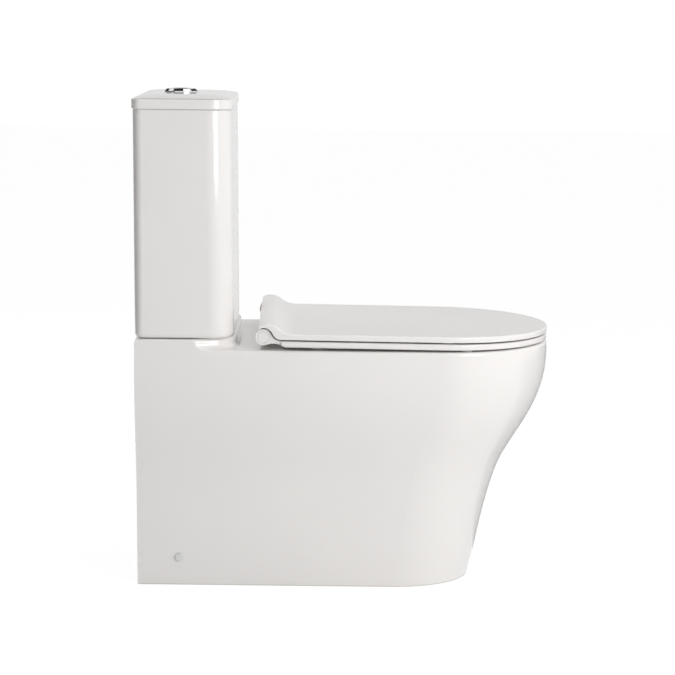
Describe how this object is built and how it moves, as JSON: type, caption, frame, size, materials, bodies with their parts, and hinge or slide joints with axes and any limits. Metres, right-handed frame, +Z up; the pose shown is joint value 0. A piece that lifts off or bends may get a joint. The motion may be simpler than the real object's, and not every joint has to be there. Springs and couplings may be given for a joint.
{
  "type": "close coupled toilet",
  "caption": "Back to wall close coupled toilet with a skirted ceramic pan, a cistern with a dual flush button, and a slim hinged seat and wrap-over lid.",
  "frame": {"origin": "centre of the overall footprint, on the floor", "axes": "+Z up, +Y towards the wall behind the toilet, -Y towards the nose of the pan, X across"},
  "size_m": [0.368, 0.676, 0.8065],
  "materials": {
    "china": "gloss white glaze on vitreous china",
    "seat_white": "gloss white moulded thermoset",
    "buffer_white": "soft white buffer",
    "cap_white": "white push-in cap",
    "chrome": "bright plated",
    "valve_white": "natural white moulding",
    "valve_blue": "blue moulding",
    "valve_grey": "grey moulding",
    "rubber_black": "black rubber",
    "steel": "stainless steel"
  },
  "bodies": {
    "toilet_body": {"pan": "china", "cistern_tank": "china", "side_caps": "cap_white", "flush_valve_base": "valve_white", "flush_valve_cage": "valve_white", "lever_bridge": "valve_white", "inlet_valve_head": "valve_white", "flush_backnut": "valve_grey", "coupling_wing_nuts": "valve_grey", "inlet_backnut": "valve_grey", "floor_brackets": "valve_grey", "inlet_valve_stem": "valve_grey", "flush_base_washer": "rubber_black", "coupling_gasket": "rubber_black", "inlet_washer": "rubber_black", "coupling_cone_washers": "rubber_black", "hinge_bushes": "rubber_black", "lever_pins": "steel", "inlet_lever_pin": "steel", "coupling_bolts": "steel", "coupling_plate_washers": "steel", "hinge_posts": "steel", "hinge_plates": "steel", "hinge_pins": "steel", "hinge_studs": "steel", "hinge_nuts": "steel", "side_screws": "steel"},
    "cistern_cover": {"cistern_lid": "china", "button_bezel": "chrome", "button_nut": "valve_grey"},
    "full_flush": {"full_flush_button": "chrome", "full_flush_rod": "valve_grey"},
    "half_flush": {"half_flush_button": "chrome", "half_flush_rod": "valve_grey"},
    "full_lever": {"full_flush_lever": "valve_blue"},
    "half_lever": {"half_flush_lever": "valve_blue"},
    "riser": {"flush_riser": "valve_white", "riser_seal": "rubber_black"},
    "part_float": {"part_flush_float": "valve_white"},
    "float": {"inlet_float": "valve_blue", "float_link": "steel"},
    "inlet_arm": {"inlet_lever": "valve_blue"},
    "seat": {"seat_ring": "seat_white", "seat_buffers": "buffer_white", "hinge_caps": "seat_white"},
    "lid": {"seat_lid": "seat_white", "lid_buffers": "buffer_white"}
  },
  "joints": [
    {"name": "seat_raise", "type": "hinge", "parent": "toilet_body", "child": "seat", "pos_m": [0, 0.1295, 0.4215], "axis": [-1, 0, 0], "range_deg": [0, 95]},
    {"name": "lid_raise", "type": "hinge", "parent": "seat", "child": "lid", "pos_m": [0, 0.1295, 0.4215], "axis": [1, 0, 0], "range_deg": [-95, 0]},
    {"name": "cistern_lid_lift", "type": "slide", "parent": "toilet_body", "child": "cistern_cover", "axis": [0, 0, 1], "range_m": [0, 0.15]},
    {"name": "full_flush_press", "type": "slide", "parent": "cistern_cover", "child": "full_flush", "axis": [0, 0, -1], "range_m": [0, 0.008], "stiffness_N_per_m": 300, "springref_m": -0.004},
    {"name": "half_flush_press", "type": "slide", "parent": "cistern_cover", "child": "half_flush", "axis": [0, 0, -1], "range_m": [0, 0.008], "stiffness_N_per_m": 300, "springref_m": -0.004},
    {"name": "full_lever_turn", "type": "hinge", "parent": "toilet_body", "child": "full_lever", "pos_m": [0.02, 0.28, 0.6728], "axis": [0, -1, 0], "range_deg": [0, 23]},
    {"name": "half_lever_turn", "type": "hinge", "parent": "toilet_body", "child": "half_lever", "pos_m": [-0.02, 0.258, 0.6728], "axis": [0, 1, 0], "range_deg": [0, 23]},
    {"name": "riser_lift", "type": "slide", "parent": "toilet_body", "child": "riser", "axis": [0, 0, 1], "range_m": [0, 0.0077]},
    {"name": "part_float_lift", "type": "slide", "parent": "toilet_body", "child": "part_float", "axis": [0, 0, 1], "range_m": [0, 0.0077]},
    {"name": "float_rise", "type": "slide", "parent": "toilet_body", "child": "float", "axis": [0, 0, 1], "range_m": [0, 0.012]},
    {"name": "inlet_arm_turn", "type": "hinge", "parent": "toilet_body", "child": "inlet_arm", "pos_m": [0.132, 0.28, 0.6825], "axis": [0, 1, 0], "range_deg": [0, 18.2]}
  ],
  "couplings": [
    {"joint": "full_lever_turn", "follows": "full_flush_press", "rad_per_m": 50},
    {"joint": "riser_lift", "follows": "full_flush_press", "ratio": 0.95},
    {"joint": "half_lever_turn", "follows": "half_flush_press", "rad_per_m": 50},
    {"joint": "part_float_lift", "follows": "half_flush_press", "ratio": 0.95},
    {"joint": "inlet_arm_turn", "follows": "float_rise", "rad_per_m": 26.3}
  ]
}
